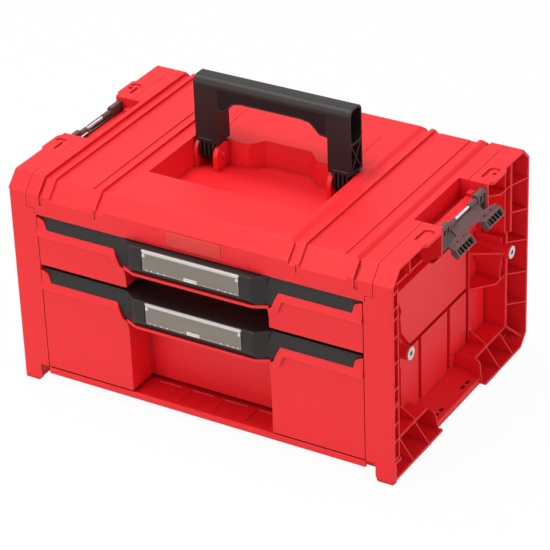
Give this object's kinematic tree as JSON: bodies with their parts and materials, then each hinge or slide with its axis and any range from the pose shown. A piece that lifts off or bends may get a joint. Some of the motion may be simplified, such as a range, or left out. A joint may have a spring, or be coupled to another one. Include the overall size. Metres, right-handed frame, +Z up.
{
  "type": "drawer tool box",
  "caption": "Portable moulded tool box with pull-out drawers, a fold-down carrying handle in the lid and stacking latches on both sides.",
  "frame": {"origin": "on the floor plane, midway between the outer limits of the box in width and in depth", "axes": "+X to the right seen from the front, +Y from the drawers to the back, +Z up"},
  "size_m": [0.4898, 0.312, 0.318],
  "materials": {
    "red_plastic": "fine-textured moulded polypropylene",
    "black_plastic": "satin moulded plastic",
    "soft_grip": "soft matt overmould",
    "grey_plastic": "glass-filled moulded plastic",
    "dark_rubber": "matt",
    "zinc_steel": "bright zinc plated",
    "clear_plastic": "clear, lightly frosted",
    "label_card": "plain card, no print"
  },
  "bodies": {
    "case": {"lid": "red_plastic", "badge_plate": "red_plastic", "side_frame_right": "red_plastic", "side_frame_left": "red_plastic", "rear_wall": "red_plastic", "floor_tray": "red_plastic", "base_pads": "dark_rubber", "side_washers": "zinc_steel", "side_screws": "zinc_steel", "handle_pins": "zinc_steel", "latch_bracket_right": "grey_plastic", "latch_bracket_left": "grey_plastic", "latch_pin_right": "zinc_steel", "latch_pin_left": "zinc_steel", "top_outer_rail_right": "zinc_steel", "top_outer_rail_left": "zinc_steel", "bottom_outer_rail_right": "zinc_steel", "bottom_outer_rail_left": "zinc_steel"},
    "handle": {"handle_frame": "black_plastic", "handle_grip_inserts": "soft_grip"},
    "right_latch": {"latch_flap_right": "grey_plastic"},
    "left_latch": {"latch_flap_left": "grey_plastic"},
    "top_drawer": {"top_drawer_tub": "red_plastic", "top_drawer_grip": "black_plastic", "top_label_card": "label_card", "top_label_pins": "zinc_steel", "top_inner_rail_right": "zinc_steel", "top_inner_rail_left": "zinc_steel"},
    "top_slides": {"top_middle_rail_right": "zinc_steel", "top_middle_rail_left": "zinc_steel", "top_ball_cage_right": "zinc_steel", "top_ball_cage_left": "zinc_steel"},
    "top_window": {"top_label_cover": "clear_plastic"},
    "bottom_drawer": {"bottom_drawer_tub": "red_plastic", "bottom_drawer_grip": "black_plastic", "bottom_label_card": "label_card", "bottom_label_pins": "zinc_steel", "bottom_inner_rail_right": "zinc_steel", "bottom_inner_rail_left": "zinc_steel"},
    "bottom_slides": {"bottom_middle_rail_right": "zinc_steel", "bottom_middle_rail_left": "zinc_steel", "bottom_ball_cage_right": "zinc_steel", "bottom_ball_cage_left": "zinc_steel"},
    "bottom_window": {"bottom_label_cover": "clear_plastic"}
  },
  "joints": [
    {"name": "handle_hinge", "type": "hinge", "parent": "case", "child": "handle", "pos_m": [0, 0.022, 0.227], "axis": [1, 0, 0], "range_deg": [0, 90]},
    {"name": "right_latch_hinge", "type": "hinge", "parent": "case", "child": "right_latch", "pos_m": [0.2206, 0.0087, 0.2346], "axis": [0, -1, 0], "range_deg": [0, 125]},
    {"name": "left_latch_hinge", "type": "hinge", "parent": "case", "child": "left_latch", "pos_m": [-0.2206, 0.0087, 0.2346], "axis": [0, 1, 0], "range_deg": [0, 125]},
    {"name": "top_drawer_slide", "type": "slide", "parent": "case", "child": "top_drawer", "axis": [0, -1, 0], "range_m": [0, 0.23]},
    {"name": "top_rail_slide", "type": "slide", "parent": "case", "child": "top_slides", "axis": [0, -1, 0], "range_m": [0, 0.115]},
    {"name": "top_window_hinge", "type": "hinge", "parent": "top_drawer", "child": "top_window", "pos_m": [0, -0.1546, 0.2026], "axis": [-1, 0, 0], "range_deg": [0, 100]},
    {"name": "bottom_drawer_slide", "type": "slide", "parent": "case", "child": "bottom_drawer", "axis": [0, -1, 0], "range_m": [0, 0.23]},
    {"name": "bottom_rail_slide", "type": "slide", "parent": "case", "child": "bottom_slides", "axis": [0, -1, 0], "range_m": [0, 0.115]},
    {"name": "bottom_window_hinge", "type": "hinge", "parent": "bottom_drawer", "child": "bottom_window", "pos_m": [0, -0.1546, 0.1396], "axis": [-1, 0, 0], "range_deg": [0, 100]}
  ],
  "couplings": [
    {"joint": "top_rail_slide", "follows": "top_drawer_slide", "ratio": 0.5},
    {"joint": "bottom_rail_slide", "follows": "bottom_drawer_slide", "ratio": 0.5}
  ]
}
